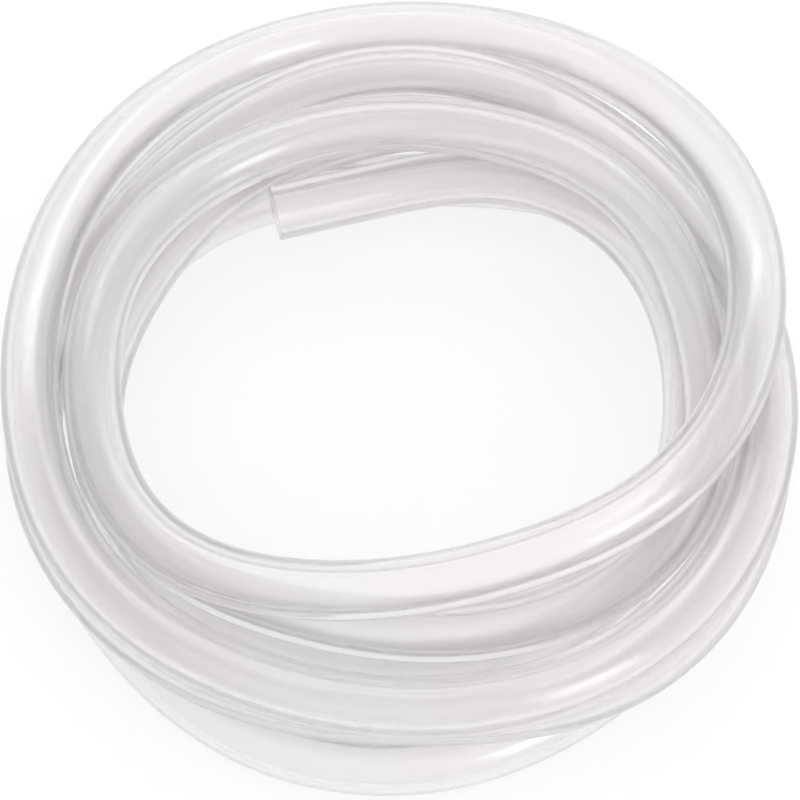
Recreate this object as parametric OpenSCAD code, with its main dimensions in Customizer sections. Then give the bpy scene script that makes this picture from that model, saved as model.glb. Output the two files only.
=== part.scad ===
// Coil of silicone laboratory tubing.
// One length of soft tube, wound six times round an open eye in two columns, three turns high.
// One turn leaves its own lane: it climbs out of the outer column at the right and drops to the
// inner one at the front. The inner end has sprung a little way into the eye; the outer end is
// tucked under the outer column at the back.
// Frame: X to the right, Y away from the viewer, Z up, with the origin under the coil's middle.

/* [Tube] */
// Outside diameter of the tube, mm
tube_od = 10; // [8:0.5:12]
// Thickness of the wall, mm
tube_wall = 2; // [1.5:0.25:2.5]

/* [Coil] */
// Size of the open eye, as a share of the usual one
eye_size = 1; // [0.95:0.05:1.3]
// Play between turns that lie together, as a share of the tube's diameter
lay_play = 0.04; // [0.04:0.01:0.1]

/* [Ends] */
// Straight length at the inner end, in tube diameters
inner_straight = 1.4; // [0.8:0.1:1.4]
// Straight length at the outer end, in tube diameters
outer_straight = 2.2; // [1.6:0.1:2.6]
// Depth of the round mouth kept true at each end, mm
mouth_depth = 10; // [6:1:10]

/* [Fineness] */
// Sections in one turn
sections = 34; // [24:2:36]

/* [Hidden] */
silicone = [0.86, 0.86, 0.87];
sides = 12;
bore_d = tube_od - 2 * tube_wall;
pitch = tube_od * (1 + lay_play);
// A ring of flats as wide as this share of the circle has the circle's own area.
even_area = sqrt(PI / (sides / 2 * sin(360 / sides)));
inside = 0.98;
// Length of tube that the square cut takes off each end, mm.
offcut = 0.3;

// Plan angle of the first place, seen from above, and the way round: clockwise.
first_angle = 127;

// The eye is not round. Radius of the inner column at the twelve places, in tube diameters.
eye = [5.1, 4.85, 4.8, 5.05, 5.15, 5.2, 5.05, 4.6, 4.55, 5.05, 5.3, 5.2];
places = len(eye);

// Where the tube lies: a row a turn, twelve places a row, each [column, level] in lay pitches.
// Column 0 is the inner one and column 1 the outer one; level 0 lies on the surface.
lay = [
  // inner end, sprung into the eye, then down the inner column to the surface
  [[-0.95, 1.35], [-1, 1.3], [-0.15, 1.4], [0.1, 1.4], [-0.05, 1.05], [-0.1, 0.35],
   [-0.05, 0.05], [0.25, 0], [0.35, 0], [0, 0], [0.05, 0], [0.45, 0.05]],
  // along the surface at the back, then out and up to the outer column's middle level
  [[0.45, 0], [0.05, 0], [0.45, 0.15], [0.9, 0.65], [1, 1], [1.25, 1],
   [1.6, 0.95], [1.25, 1], [1.5, 0.95], [1.35, 1], [1.1, 1.05], [0.9, 0.85]],
  // behind, then up to the outer column's top level
  [[1.1, 0.95], [1.6, 1.6], [1.4, 1.7], [0.95, 1.65], [1, 1.95], [1.2, 2],
   [1.5, 2], [1.65, 2], [1.6, 1.95], [1.4, 2], [0.9, 2.05], [1.25, 1.9]],
  // swung wide at the back, over the top at the right, hanging into the eye at the front
  [[2.1, 1.45], [2.7, 1.2], [2.55, 1.65], [1.65, 2.55], [0.9, 3.05], [0.25, 2.65],
   [-0.7, 2.2], [-0.55, 1.95], [-0.05, 2], [0.4, 1.95], [-0.1, 2.05], [0.15, 2.05]],
  // round the inner column's top, then down under the turn before
  [[-0.05, 2], [-0.05, 2.2], [-0.1, 2.45], [0.1, 2.5], [-0.1, 2.15], [0.35, 1.35],
   [0.05, 1.15], [-0.05, 1], [-0.1, 1], [0, 1], [0.15, 1], [-0.15, 1]],
  // down between the columns at the back, out to the surface all along the front
  [[0.1, 1.1], [0.6, 0.95], [1.65, 0.45], [1.95, 0.05], [1.4, 0], [0.95, 0],
   [1, 0], [1.85, 0], [1.95, 0], [1, 0], [1.05, 0], [1.65, 0]],
  // outer end, tucked under the wide turn
  [[2.05, 0], [2.5, 0], [2.6, 0]]
];

// The readings of a place, and the eased course of the tube between them.
stops = [for (row = lay) for (stop = row) stop];
last = len(stops) - 1;
function lane(i) = let (k = min(max(i, 0), last))
  [tube_od * eye_size * eye[k % places] + pitch * stops[k][0], tube_od / 2 + pitch * stops[k][1]];
// One place beyond each end, in line with the two before it.
function stop_at(i) = i < 0 ? 2 * lane(0) - lane(1) : i > last ? 2 * lane(last) - lane(last - 1) : lane(i);
function eased(i, f) = stop_at(i - 1) * pow(1 - f, 3) / 6
  + stop_at(i) * (3 * pow(f, 3) - 6 * f * f + 4) / 6
  + stop_at(i + 1) * (-3 * pow(f, 3) + 3 * f * f + 3 * f + 1) / 6
  + stop_at(i + 2) * pow(f, 3) / 6;
// Centre of the tube after a wind of w degrees.
function course(w) = let (p = w * places / 360, i = floor(p), lr = eased(i, p - i), a = first_angle - w)
  [lr[0] * cos(a), lr[0] * sin(a), lr[1]];
function unit(v) = v / norm(v);
function heading(w) = unit(course(w + 0.5) - course(w - 0.5));

// Winds at which the curled part begins and ends, degrees; both ends go on straight from there.
wind_in = 24;
// Wind left between the end of the curl and the last place.
lead_out = 16;
wind_out = last * 360 / places - lead_out;
// The sections of all turns stand at the same plan angles, so that turns side by side keep their play.
step = 360 / sections;
winds = concat([wind_in], [for (i = [floor(wind_in / step) + 1:ceil(wind_out / step) - 1]) i * step], [wind_out]);
mouth_in = course(wind_in) - heading(wind_in) * inner_straight * tube_od;
mouth_out = course(wind_out) + heading(wind_out) * outer_straight * tube_od;
line = concat([[mouth_in - heading(wind_in) * offcut, heading(wind_in)]],
  [for (w = winds) [course(w), heading(w)]],
  [[mouth_out + heading(wind_out) * offcut, heading(wind_out)]]);

// A section across the tube, lying on one of its flats: place, heading, radius.
function across(at, way, r) = let (n = unit(cross(way, [0, 0, 1])), b = cross(n, way))
  [for (k = [0:sides - 1]) let (a = 360 * (k + 0.5) / sides) at + r * (cos(a) * n + sin(a) * b)];
outer = [for (s = line) each across(s[0], s[1], tube_od / 2 * even_area)];
// Middle of the coil's plan and its lowest point: the part's own origin.
function middle(k) = let (v = [for (p = outer) p[k]]) (min(v) + max(v)) / 2;
origin = [middle(0), middle(1), min([for (p = outer) p[2]])];

module tubing_body() {
  n = len(line);
  inner = [for (i = [0:n - 1])
    each across(line[i][0], line[i][1], bore_d / 2 * (i < 2 || i > n - 3 ? inside : even_area))];
  m = n * sides;
  skin = [for (i = [0:n - 2]) for (k = [0:sides - 1])
    let (a = i * sides + k, b = i * sides + (k + 1) % sides, c = a + sides, d = b + sides)
    each [[a, c, b], [b, c, d], [m + a, m + b, m + c], [m + b, m + d, m + c]]];
  e = (n - 1) * sides;
  rims = [for (k = [0:sides - 1]) let (a = k, b = (k + 1) % sides)
    each [[a, b, m + a], [b, m + b, m + a], [e + a, m + e + a, e + b], [e + b, m + e + a, m + e + b]]];
  polyhedron(points = concat(outer, inner), faces = concat(skin, rims), convexity = 12);
}

// What is taken away at an end: the offcut past the square cut, and the true round bore behind it.
module mouth(at, way) {
  n = unit(cross(way, [0, 0, 1]));
  b = cross(n, way);
  multmatrix([[n[0], b[0], -way[0], at[0]], [n[1], b[1], -way[1], at[1]], [n[2], b[2], -way[2], at[2]]]) {
    translate([0, 0, -1]) cylinder(h = mouth_depth + 1, d = bore_d, $fn = 96);
    translate([0, 0, -1.4 * offcut]) cylinder(h = 1.4 * offcut, d = tube_od * 1.03, $fn = 96);
  }
}

module tubing() {
  color(silicone) translate(-origin) difference() {
    tubing_body();
    mouth(mouth_in, -heading(wind_in));
    mouth(mouth_out, heading(wind_out));
  }
}

tubing();
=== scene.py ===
import math

import bpy
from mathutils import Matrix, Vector


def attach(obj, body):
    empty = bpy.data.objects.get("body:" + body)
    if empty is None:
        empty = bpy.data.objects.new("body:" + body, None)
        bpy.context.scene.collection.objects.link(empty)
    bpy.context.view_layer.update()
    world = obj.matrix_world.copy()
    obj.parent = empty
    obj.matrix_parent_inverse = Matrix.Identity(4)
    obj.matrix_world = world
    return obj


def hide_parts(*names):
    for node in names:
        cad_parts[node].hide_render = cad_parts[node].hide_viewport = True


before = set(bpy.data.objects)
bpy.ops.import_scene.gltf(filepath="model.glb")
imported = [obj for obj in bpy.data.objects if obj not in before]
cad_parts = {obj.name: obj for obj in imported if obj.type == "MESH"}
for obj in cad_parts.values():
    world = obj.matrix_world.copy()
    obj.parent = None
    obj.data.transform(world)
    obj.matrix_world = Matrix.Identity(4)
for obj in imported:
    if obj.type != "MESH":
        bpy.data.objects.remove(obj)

bl_info = {
    "name": "Silicone Tubing Coil",
    "version": (1, 0, 0),
    "blender": (4, 5, 0),
    "location": "View3D > Sidebar > Tubing Coil",
    "description": "Makes a coil of translucent laboratory tubing, its material and a pale stage",
    "category": "Add Mesh",
}

# The lay of the tube, the same as in the CAD source: a row a turn, twelve places a row, each
# (column, level) in lay pitches. Column 0 is the inner one, level 0 lies on the surface.
LAY = [
    # inner end, sprung into the eye, then down the inner column to the surface
    [(-0.95, 1.35), (-1, 1.3), (-0.15, 1.4), (0.1, 1.4), (-0.05, 1.05), (-0.1, 0.35),
     (-0.05, 0.05), (0.25, 0), (0.35, 0), (0, 0), (0.05, 0), (0.45, 0.05)],
    # along the surface at the back, then out and up to the outer column's middle level
    [(0.45, 0), (0.05, 0), (0.45, 0.15), (0.9, 0.65), (1, 1), (1.25, 1),
     (1.6, 0.95), (1.25, 1), (1.5, 0.95), (1.35, 1), (1.1, 1.05), (0.9, 0.85)],
    # behind, then up to the outer column's top level
    [(1.1, 0.95), (1.6, 1.6), (1.4, 1.7), (0.95, 1.65), (1, 1.95), (1.2, 2),
     (1.5, 2), (1.65, 2), (1.6, 1.95), (1.4, 2), (0.9, 2.05), (1.25, 1.9)],
    # swung wide at the back, over the top at the right, hanging into the eye at the front
    [(2.1, 1.45), (2.7, 1.2), (2.55, 1.65), (1.65, 2.55), (0.9, 3.05), (0.25, 2.65),
     (-0.7, 2.2), (-0.55, 1.95), (-0.05, 2), (0.4, 1.95), (-0.1, 2.05), (0.15, 2.05)],
    # round the inner column's top, then down under the turn before
    [(-0.05, 2), (-0.05, 2.2), (-0.1, 2.45), (0.1, 2.5), (-0.1, 2.15), (0.35, 1.35),
     (0.05, 1.15), (-0.05, 1), (-0.1, 1), (0, 1), (0.15, 1), (-0.15, 1)],
    # down between the columns at the back, out to the surface all along the front
    [(0.1, 1.1), (0.6, 0.95), (1.65, 0.45), (1.95, 0.05), (1.4, 0), (0.95, 0),
     (1, 0), (1.85, 0), (1.95, 0), (1, 0), (1.05, 0), (1.65, 0)],
    # outer end, tucked under the wide turn
    [(2.05, 0), (2.5, 0), (2.6, 0)],
]
# Radius of the inner column at the twelve places round the eye, in tube diameters.
EYE = [5.1, 4.85, 4.8, 5.05, 5.15, 5.2, 5.05, 4.6, 4.55, 5.05, 5.3, 5.2]
PLACES = len(EYE)
# Plan angle of the first place, degrees, seen from above; the tube winds clockwise from there.
FIRST_ANGLE = 127
# Wind at which the curl begins, and wind left between its end and the last place, degrees.
WIND_IN = 24
LEAD_OUT = 16
# A heading is taken between the points this far to either side, degrees of wind.
HALF_STEP = 0.5
# Points on the straight run at each end.
RUN_POINTS = 4
# How far the skin's roughness swings to either side of its middle value.
GLOSS_SWING = 0.03
# Edges sharper than this, degrees, are shaded sharp: those of the two cuts.
SHARP_EDGE = 50
# A face belongs to a cut when its normal agrees with the tube's way out at least this well.
CUT_FACING = 0.9
# White shares of the floor, as the camera sees it and as gloss and the clear tube see it.
SEEN_WHITE = 0.82
MIRRORED_WHITE = 0.97
# Half the floor's width, metres.
FLOOR_REACH = 4
# Soft boxes that draw the streaks along the tube: name, watts, place, width and height in metres.
LAMPS = [
    ("front_box", 0.85, (0.36, -0.46, 0.40), 0.25, 0.25),
    ("back_box", 0.55, (-0.05, 0.42, 0.62), 0.60, 0.09),
]
# The coil's middle, in the frame that the lay is written in, metres.
MIDDLE = Vector((-0.000127, 0.005171, 0))


def settings():
    return bpy.context.scene.tubing_settings


class Course:
    """The eased line of the tube's centre, from the inner end to the outer one."""

    def __init__(self, s):
        self.od = s.tube_diameter
        self.pitch = s.tube_diameter * (1 + s.lay_play)
        self.stops = [stop for row in LAY for stop in row]
        self.last = len(self.stops) - 1
        self.wind_out = self.last * 360 / PLACES - LEAD_OUT
        self.straight_in = s.straight_in
        self.straight_out = s.straight_out

    def lane(self, k):
        """Radius and height of a place, metres."""
        column, level = self.stops[k]
        return Vector((self.od * EYE[k % PLACES] + self.pitch * column,
                       self.od / 2 + self.pitch * level))

    def stop(self, i):
        """A place, or one beyond either end, in line with the two before it."""
        if i < 0:
            return 2 * self.lane(0) - self.lane(1)
        if i > self.last:
            return 2 * self.lane(self.last) - self.lane(self.last - 1)
        return self.lane(i)

    def at(self, wind):
        """Centre of the tube after a wind of so many degrees, in the frame of the part."""
        p = wind * PLACES / 360
        i = math.floor(p)
        f = p - i
        radius, height = (self.stop(i - 1) * (1 - f) ** 3
                          + self.stop(i) * (3 * f ** 3 - 6 * f * f + 4)
                          + self.stop(i + 1) * (-3 * f ** 3 + 3 * f * f + 3 * f + 1)
                          + self.stop(i + 2) * f ** 3) / 6
        a = math.radians(FIRST_ANGLE - wind)
        return Vector((radius * math.cos(a), radius * math.sin(a), height)) - MIDDLE

    def heading(self, wind):
        return (self.at(wind + HALF_STEP) - self.at(wind - HALF_STEP)).normalized()

    def points(self, per_turn):
        """Points along the tube, evenly wound, with a straight run at both ends."""
        count = math.ceil((self.wind_out - WIND_IN) / 360 * per_turn)
        winds = [WIND_IN + (self.wind_out - WIND_IN) * i / count for i in range(count + 1)]
        first, last = self.at(winds[0]), self.at(winds[-1])
        into, out = self.heading(winds[0]), self.heading(winds[-1])
        lead = [first - into * self.straight_in * (1 - i / RUN_POINTS) for i in range(RUN_POINTS)]
        tail = [last + out * self.straight_out * (i + 1) / RUN_POINTS for i in range(RUN_POINTS)]
        return lead + [self.at(w) for w in winds] + tail


def tube_tree():
    """Node tree that sweeps a round section along a line of points and sets its material."""
    tree = bpy.data.node_groups.new("Tube Sweep", "GeometryNodeTree")
    socket = tree.interface.new_socket
    socket("Line", in_out="INPUT", socket_type="NodeSocketGeometry")
    radius = socket("Radius", in_out="INPUT", socket_type="NodeSocketFloat")
    radius.subtype = "DISTANCE"
    socket("Sides", in_out="INPUT", socket_type="NodeSocketInt")
    socket("Material", in_out="INPUT", socket_type="NodeSocketMaterial")
    socket("Tube", in_out="OUTPUT", socket_type="NodeSocketGeometry")
    node = tree.nodes.new
    link = tree.links.new
    given = node("NodeGroupInput")
    result = node("NodeGroupOutput")
    to_curve = node("GeometryNodeMeshToCurve")
    upright = node("GeometryNodeSetCurveNormal")
    upright.mode = "Z_UP"
    length = node("GeometryNodeSplineParameter")
    keep_length = node("GeometryNodeStoreNamedAttribute")
    keep_length.data_type = "FLOAT"
    keep_length.inputs["Name"].default_value = "along"
    ring = node("GeometryNodeCurvePrimitiveCircle")
    spot = node("GeometryNodeInputPosition")
    turn = node("ShaderNodeVectorMath")
    turn.operation = "NORMALIZE"
    keep_turn = node("GeometryNodeStoreNamedAttribute")
    keep_turn.data_type = "FLOAT_VECTOR"
    keep_turn.inputs["Name"].default_value = "around"
    sweep = node("GeometryNodeCurveToMesh")
    smooth = node("GeometryNodeSetShadeSmooth")
    real = node("GeometryNodeRealizeInstances")
    paint = node("GeometryNodeSetMaterial")
    link(given.outputs["Line"], to_curve.inputs["Mesh"])
    link(to_curve.outputs["Curve"], upright.inputs["Curve"])
    link(upright.outputs["Curve"], keep_length.inputs["Geometry"])
    link(length.outputs["Length"], keep_length.inputs["Value"])
    link(given.outputs["Radius"], ring.inputs["Radius"])
    link(given.outputs["Sides"], ring.inputs["Resolution"])
    link(ring.outputs["Curve"], keep_turn.inputs["Geometry"])
    link(spot.outputs["Position"], turn.inputs[0])
    link(turn.outputs["Vector"], keep_turn.inputs["Value"])
    link(keep_length.outputs["Geometry"], sweep.inputs["Curve"])
    link(keep_turn.outputs["Geometry"], sweep.inputs["Profile Curve"])
    link(sweep.outputs["Mesh"], smooth.inputs["Geometry"])
    link(smooth.outputs["Geometry"], real.inputs["Geometry"])
    link(real.outputs["Geometry"], paint.inputs["Geometry"])
    link(given.outputs["Material"], paint.inputs["Material"])
    link(paint.outputs["Geometry"], result.inputs["Tube"])
    return tree


def set_input(modifier, name, value):
    """Set an input of a Geometry Nodes modifier by the name it has in the tree."""
    for item in modifier.node_group.interface.items_tree:
        if item.item_type == "SOCKET" and item.in_out == "INPUT" and item.name == name:
            modifier[item.identifier] = value
            return
    raise RuntimeError(f"{modifier.node_group.name} has no input {name}")


def silicone_material(s):
    """Clear silicone rubber, a little milky, with the faint draw lines of an extruded tube."""
    mat = bpy.data.materials.new("silicone")
    mat.use_nodes = True
    nodes, link = mat.node_tree.nodes, mat.node_tree.links.new
    shader = nodes["Principled BSDF"]

    # A place on the skin: along the tube, and round it as a point on a unit circle.
    along = nodes.new("ShaderNodeAttribute")
    along.attribute_name = "along"
    around = nodes.new("ShaderNodeAttribute")
    around.attribute_name = "around"
    circle = nodes.new("ShaderNodeSeparateXYZ")
    link(around.outputs["Vector"], circle.inputs["Vector"])
    place = nodes.new("ShaderNodeCombineXYZ")
    link(along.outputs["Fac"], place.inputs["X"])
    link(circle.outputs["X"], place.inputs["Y"])
    link(circle.outputs["Y"], place.inputs["Z"])

    # Draw lines: far longer than wide.
    stretch = nodes.new("ShaderNodeMapping")
    stretch.inputs["Scale"].default_value = (7.0, 2.4, 2.4)
    link(place.outputs["Vector"], stretch.inputs["Vector"])
    lines = nodes.new("ShaderNodeTexNoise")
    lines.inputs["Scale"].default_value = 1.0
    lines.inputs["Detail"].default_value = 0.0
    link(stretch.outputs["Vector"], lines.inputs["Vector"])
    relief = nodes.new("ShaderNodeBump")
    relief.inputs["Strength"].default_value = 1.0
    relief.inputs["Distance"].default_value = s.draw_lines
    link(lines.outputs["Fac"], relief.inputs["Height"])
    link(relief.outputs["Normal"], shader.inputs["Normal"])

    # The skin's gloss wanders with the lines, and a cut face is dull.
    gloss = nodes.new("ShaderNodeMapRange")
    gloss.inputs["To Min"].default_value = s.roughness - GLOSS_SWING
    gloss.inputs["To Max"].default_value = s.roughness + GLOSS_SWING
    link(lines.outputs["Fac"], gloss.inputs["Value"])
    cut = nodes.new("ShaderNodeAttribute")
    cut.attribute_name = "cut"
    dull = nodes.new("ShaderNodeMix")
    link(cut.outputs["Fac"], dull.inputs["Factor"])
    link(gloss.outputs["Result"], dull.inputs["A"])
    dull.inputs["B"].default_value = s.cut_roughness
    link(dull.outputs["Result"], shader.inputs["Roughness"])

    # The tint drifts a little from stretch to stretch of the tube.
    object_place = nodes.new("ShaderNodeTexCoord")
    drift = nodes.new("ShaderNodeTexNoise")
    drift.inputs["Scale"].default_value = 24.0
    drift.inputs["Detail"].default_value = 0.0
    link(object_place.outputs["Object"], drift.inputs["Vector"])
    tint = nodes.new("ShaderNodeValToRGB")
    tint.color_ramp.elements[0].position = 0.38
    tint.color_ramp.elements[0].color = (*s.silicone_colour, 1)
    tint.color_ramp.elements[1].position = 0.62
    tint.color_ramp.elements[1].color = (*s.warm_colour, 1)
    link(drift.outputs["Fac"], tint.inputs["Fac"])
    link(tint.outputs["Color"], shader.inputs["Base Color"])

    shader.inputs["Transmission Weight"].default_value = s.clearness
    shader.inputs["IOR"].default_value = 1.3
    shader.inputs["Coat Weight"].default_value = 1.0
    shader.inputs["Coat Roughness"].default_value = 0.17
    return mat


def floor_material():
    """Pale paper; what is seen of it, also in gloss and through the tube, is lifted towards white."""
    mat = bpy.data.materials.new("pale_floor")
    mat.use_nodes = True
    nodes, link = mat.node_tree.nodes, mat.node_tree.links.new
    shader = nodes["Principled BSDF"]
    shader.inputs["Base Color"].default_value = (0.93, 0.93, 0.93, 1)
    shader.inputs["Roughness"].default_value = 0.9
    shader.inputs["Specular IOR Level"].default_value = 0.1
    white = nodes.new("ShaderNodeEmission")
    white.inputs["Strength"].default_value = 1.0
    rays = nodes.new("ShaderNodeLightPath")
    either = nodes.new("ShaderNodeMath")
    either.operation = "MAXIMUM"
    link(rays.outputs["Is Glossy Ray"], either.inputs[0])
    link(rays.outputs["Is Transmission Ray"], either.inputs[1])
    mirrored = nodes.new("ShaderNodeMath")
    mirrored.operation = "MULTIPLY"
    mirrored.inputs[1].default_value = MIRRORED_WHITE
    link(either.outputs["Value"], mirrored.inputs[0])
    share = nodes.new("ShaderNodeMath")
    share.operation = "MULTIPLY_ADD"
    share.inputs[1].default_value = SEEN_WHITE
    link(rays.outputs["Is Camera Ray"], share.inputs[0])
    link(mirrored.outputs["Value"], share.inputs[2])
    mix = nodes.new("ShaderNodeMixShader")
    link(share.outputs["Value"], mix.inputs["Fac"])
    link(shader.outputs["BSDF"], mix.inputs[1])
    link(white.outputs["Emission"], mix.inputs[2])
    link(mix.outputs["Shader"], nodes["Material Output"].inputs["Surface"])
    return mat


class TubingSettings(bpy.types.PropertyGroup):
    """Sizes and finish of the tubing."""
    tube_diameter: bpy.props.FloatProperty(
        name="Outside Diameter", description="Outside diameter of the tube",
        default=0.010, min=0.002, unit="LENGTH")
    wall: bpy.props.FloatProperty(
        name="Wall", description="Thickness of the tube's wall",
        default=0.002, min=0.0005, unit="LENGTH")
    lay_play: bpy.props.FloatProperty(
        name="Lay Play", description="Play between turns that lie together, as a share of the diameter",
        default=0.04, min=0.02, max=0.2, subtype="FACTOR")
    straight_in: bpy.props.FloatProperty(
        name="Inner Straight", description="Straight length at the inner end",
        default=0.014, min=0.0, unit="LENGTH")
    straight_out: bpy.props.FloatProperty(
        name="Outer Straight", description="Straight length at the outer end",
        default=0.022, min=0.0, unit="LENGTH")
    rings_per_turn: bpy.props.IntProperty(
        name="Rings per Turn", description="Sections along one turn of the tube",
        default=190, min=24, max=200)
    sides: bpy.props.IntProperty(
        name="Sides", description="Flats round the tube", default=40, min=12, max=64)
    silicone_colour: bpy.props.FloatVectorProperty(
        name="Silicone", description="Colour of the silicone", subtype="COLOR", size=3,
        default=(0.995, 0.99, 0.99), min=0, max=1)
    warm_colour: bpy.props.FloatVectorProperty(
        name="Warm Silicone", description="Colour of its warmer stretches", subtype="COLOR", size=3,
        default=(1.0, 0.98, 0.987), min=0, max=1)
    clearness: bpy.props.FloatProperty(
        name="Clearness", description="How clear the silicone is: the rest is milky",
        default=0.87, min=0, max=1, subtype="FACTOR")
    roughness: bpy.props.FloatProperty(
        name="Roughness", description="Roughness of the tube's skin",
        default=0.24, min=0.04, max=0.8, subtype="FACTOR")
    cut_roughness: bpy.props.FloatProperty(
        name="Cut Roughness", description="Roughness of the knife-cut ends",
        default=0.5, min=0, max=1, subtype="FACTOR")
    draw_lines: bpy.props.FloatProperty(
        name="Draw Lines", description="Depth of the faint lines along the tube",
        default=0.00004, min=0, max=0.0005, unit="LENGTH")


class StageSettings(bpy.types.PropertyGroup):
    """Camera and light."""
    elevation: bpy.props.FloatProperty(
        name="Elevation", description="Height of the camera above the horizon",
        default=math.radians(62.0), unit="ROTATION")
    distance: bpy.props.FloatProperty(
        name="Distance", description="From the camera to the coil's middle",
        default=0.4905, unit="LENGTH")
    aim_up: bpy.props.FloatProperty(
        name="Aim", description="How far up the picture from the coil's middle the camera aims",
        default=0.00618149, unit="LENGTH")
    lens: bpy.props.FloatProperty(
        name="Lens", description="Focal length of the camera, mm", default=122.9)
    world_strength: bpy.props.FloatProperty(
        name="Surroundings", description="Brightness of the white surroundings", default=1.12)


def mark_cut(mesh, line, reach):
    """Give the faces of the two square cuts a "cut" of 1, and all others 0."""
    cut = mesh.attributes.new("cut", "FLOAT", "FACE")
    for end, beside in ((line[0], line[1]), (line[-1], line[-2])):
        way = (end - beside).normalized()
        for face in mesh.polygons:
            if (face.center - end).length < reach and face.normal.dot(way) > CUT_FACING:
                cut.data[face.index].value = 1


class TUBING_OT_tube(bpy.types.Operator):
    """Make the coiled tube, with its bore and its cut ends"""
    bl_idname = "tubing.tube"
    bl_label = "Tube"

    def execute(self, context):
        s = settings()
        course = Course(s)
        line = course.points(s.rings_per_turn)
        path = bpy.data.meshes.new("tube_line")
        path.from_pydata(line, [(i, i + 1) for i in range(len(line) - 1)], [])
        guide = bpy.data.objects.new("tube_line", path)
        context.scene.collection.objects.link(guide)
        material = silicone_material(s)
        sweep = guide.modifiers.new("Sweep", "NODES")
        sweep.node_group = tube_tree()
        set_input(sweep, "Radius", s.tube_diameter / 2)
        set_input(sweep, "Sides", s.sides)
        set_input(sweep, "Material", material)
        wall = guide.modifiers.new("Wall", "SOLIDIFY")
        wall.thickness = s.wall
        wall.offset = -1
        wall.use_rim = True
        context.view_layer.update()
        mesh = bpy.data.meshes.new_from_object(guide.evaluated_get(context.evaluated_depsgraph_get()))
        if len(mesh.polygons) < s.sides * len(line):
            raise RuntimeError("the tube was not swept")
        mesh.name = "tube_skin"
        mesh.set_sharp_from_angle(angle=math.radians(SHARP_EDGE))
        mark_cut(mesh, line, s.tube_diameter)
        tube = bpy.data.objects.new("tube_skin", mesh)
        context.scene.collection.objects.link(tube)
        bpy.data.objects.remove(guide)
        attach(tube, "root")
        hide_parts("tubing")
        return {"FINISHED"}


class TUBING_OT_stage(bpy.types.Operator):
    """Make the pale floor, the soft light and the camera"""
    bl_idname = "tubing.stage"
    bl_label = "Stage"

    def execute(self, context):
        s = context.scene.stage_settings
        scene = context.scene
        mesh = bpy.data.meshes.new("floor")
        corners = [(x * FLOOR_REACH, y * FLOOR_REACH, 0) for x, y in ((-1, -1), (1, -1), (1, 1), (-1, 1))]
        mesh.from_pydata(corners, [], [(0, 1, 2, 3)])
        mesh.materials.append(floor_material())
        floor = bpy.data.objects.new("floor", mesh)
        scene.collection.objects.link(floor)
        world = bpy.data.worlds.new("surroundings")
        world.use_nodes = True
        world.node_tree.nodes["Background"].inputs["Color"].default_value = (1, 1, 1, 1)
        world.node_tree.nodes["Background"].inputs["Strength"].default_value = s.world_strength
        scene.world = world
        for name, energy, place, width, height in LAMPS:
            lamp = bpy.data.lights.new(name, "AREA")
            lamp.shape = "RECTANGLE"
            lamp.energy = energy
            lamp.size = width
            lamp.size_y = height
            lamp_object = bpy.data.objects.new(name, lamp)
            lamp_object.location = place
            lamp_object.rotation_euler = (-lamp_object.location).to_track_quat("-Z", "Y").to_euler()
            scene.collection.objects.link(lamp_object)
        camera = bpy.data.cameras.new("camera")
        camera.lens = s.lens
        camera.sensor_width = 36
        camera.clip_start = 0.01
        eye = bpy.data.objects.new("camera", camera)
        e = s.elevation
        centre = -MIDDLE
        away = Vector((0, -math.cos(e), math.sin(e)))
        up = Vector((0, math.sin(e), math.cos(e)))
        eye.location = centre + away * s.distance
        aim = centre + up * s.aim_up
        eye.rotation_euler = (aim - eye.location).to_track_quat("-Z", "Y").to_euler()
        scene.collection.objects.link(eye)
        scene.camera = eye
        scene.view_settings.view_transform = "Standard"
        return {"FINISHED"}


class TUBING_PT_panel(bpy.types.Panel):
    """Sizes of the coil, and the steps that make it"""
    bl_label = "Tubing Coil"
    bl_idname = "TUBING_PT_panel"
    bl_space_type = "VIEW_3D"
    bl_region_type = "UI"
    bl_category = "Tubing Coil"

    def draw(self, context):
        layout = self.layout
        for group in (context.scene.tubing_settings, context.scene.stage_settings):
            column = layout.column()
            for name in group.__annotations__:
                column.prop(group, name)
        layout.operator("tubing.stage")
        layout.operator("tubing.tube")


CLASSES = (TubingSettings, StageSettings, TUBING_OT_tube, TUBING_OT_stage, TUBING_PT_panel)


def register():
    for cls in CLASSES:
        bpy.utils.register_class(cls)
    bpy.types.Scene.tubing_settings = bpy.props.PointerProperty(type=TubingSettings)
    bpy.types.Scene.stage_settings = bpy.props.PointerProperty(type=StageSettings)


def unregister():
    del bpy.types.Scene.stage_settings
    del bpy.types.Scene.tubing_settings
    for cls in reversed(CLASSES):
        bpy.utils.unregister_class(cls)


def main():
    register()
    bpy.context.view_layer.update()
    bpy.ops.tubing.stage()
    bpy.ops.tubing.tube()


if __name__ == "__main__":
    main()
